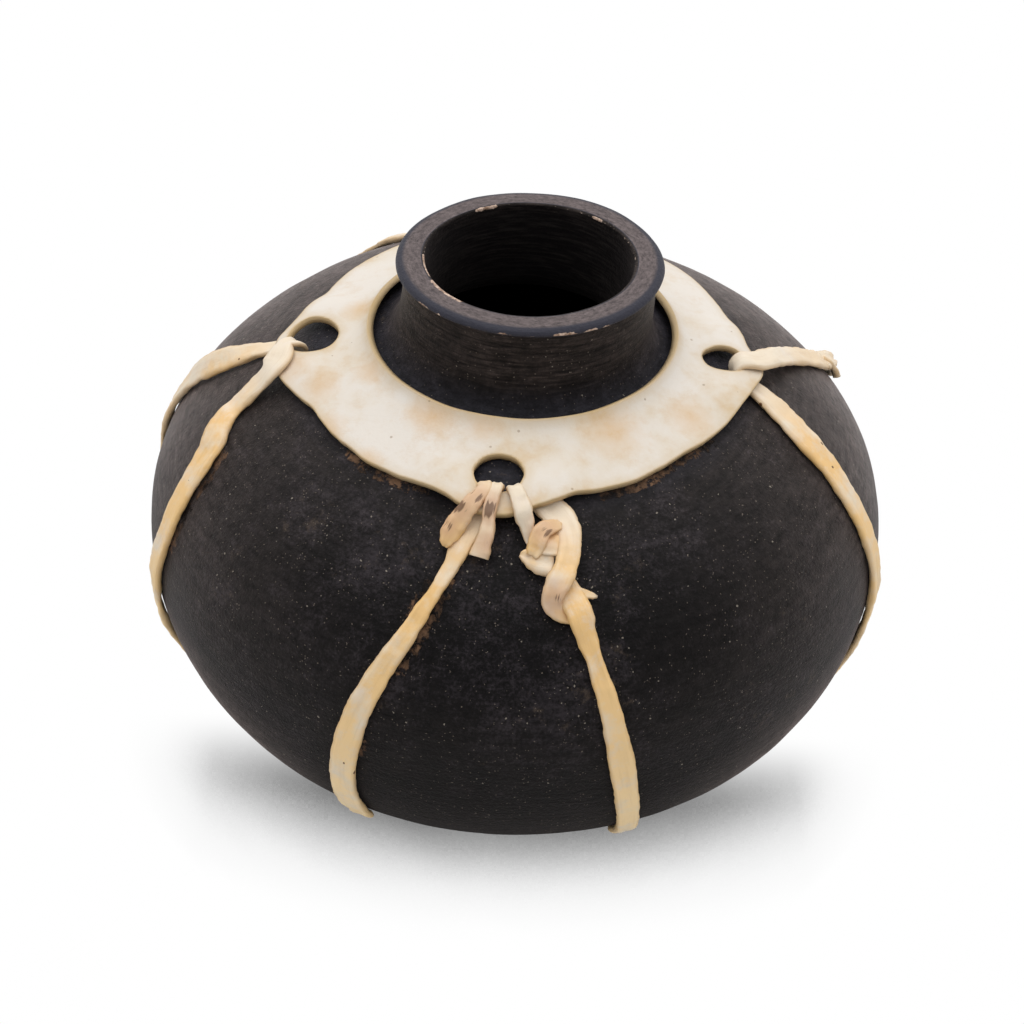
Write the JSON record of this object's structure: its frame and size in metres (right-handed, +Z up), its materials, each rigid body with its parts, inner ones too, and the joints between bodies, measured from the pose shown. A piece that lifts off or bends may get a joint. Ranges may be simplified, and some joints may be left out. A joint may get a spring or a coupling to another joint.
{
  "type": "pottery olla",
  "caption": "Black hand-built pottery olla with a short neck, a four-pointed rawhide collar and flat rawhide lacing down to a ring round the foot.",
  "frame": {"origin": "centre of the object's box, at the underside of the clay foot", "axes": "+Z up out of the mouth, -Y towards the front with the two knots, +X to the viewer's right"},
  "size_m": [0.2822, 0.28, 0.2012],
  "materials": {
    "black_clay": "low-fired black earthenware, smudged and stone-burnished",
    "rawhide_sheet": "dried ivory rawhide, matt with a faint sheen",
    "rawhide_thong": "dried tan rawhide thong, slightly waxy"
  },
  "bodies": {
    "root": {"olla_body": "black_clay", "neck_collar": "rawhide_sheet", "foot_ring": "rawhide_sheet", "lace_front_left": "rawhide_thong", "turn_foot_front_left": "rawhide_thong", "lace_left_front": "rawhide_thong", "turn_left_hole": "rawhide_thong", "lace_left_back": "rawhide_thong", "turn_foot_back_left": "rawhide_thong", "lace_back_left": "rawhide_thong", "turn_back_hole": "rawhide_thong", "lace_back_right": "rawhide_thong", "turn_foot_back_right": "rawhide_thong", "lace_right_back_lower": "rawhide_thong", "lace_right_back_upper": "rawhide_thong", "turn_right_hole": "rawhide_thong", "lace_right_front": "rawhide_thong", "turn_foot_front_right": "rawhide_thong", "lace_front_right": "rawhide_thong", "knot_front_left": "rawhide_thong", "knot_front_right": "rawhide_thong", "knot_right_back": "rawhide_thong"}
  },
  "joints": []
}
